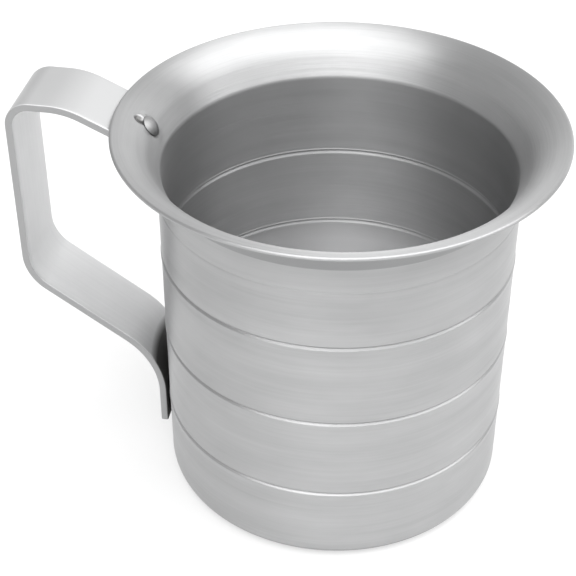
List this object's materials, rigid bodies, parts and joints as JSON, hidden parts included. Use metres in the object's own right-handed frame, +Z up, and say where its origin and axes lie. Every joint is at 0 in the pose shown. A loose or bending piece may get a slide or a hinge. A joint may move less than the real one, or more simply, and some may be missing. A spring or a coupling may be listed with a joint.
{
  "type": "candle melting pot",
  "caption": "Tall round aluminium pot with a flared pouring rim, rolled measuring grooves and a riveted strap handle, for melting and pouring wax.",
  "frame": {"origin": "centre of the flat base, on the surface that it rests on", "axes": "+Z up along the axis of the pot, handle along -X, +Y to the side"},
  "size_m": [0.1642, 0.1334, 0.1268],
  "materials": {
    "spun_aluminium": "satin, spun: fine rings of brushing round the axis",
    "strap_aluminium": "satin, tumbled smooth",
    "rivet_aluminium": "bright, slightly worn"
  },
  "bodies": {
    "root": {"pot_body": "spun_aluminium", "handle_strap": "strap_aluminium", "upper_rivet": "rivet_aluminium", "lower_rivet": "rivet_aluminium"}
  },
  "joints": []
}
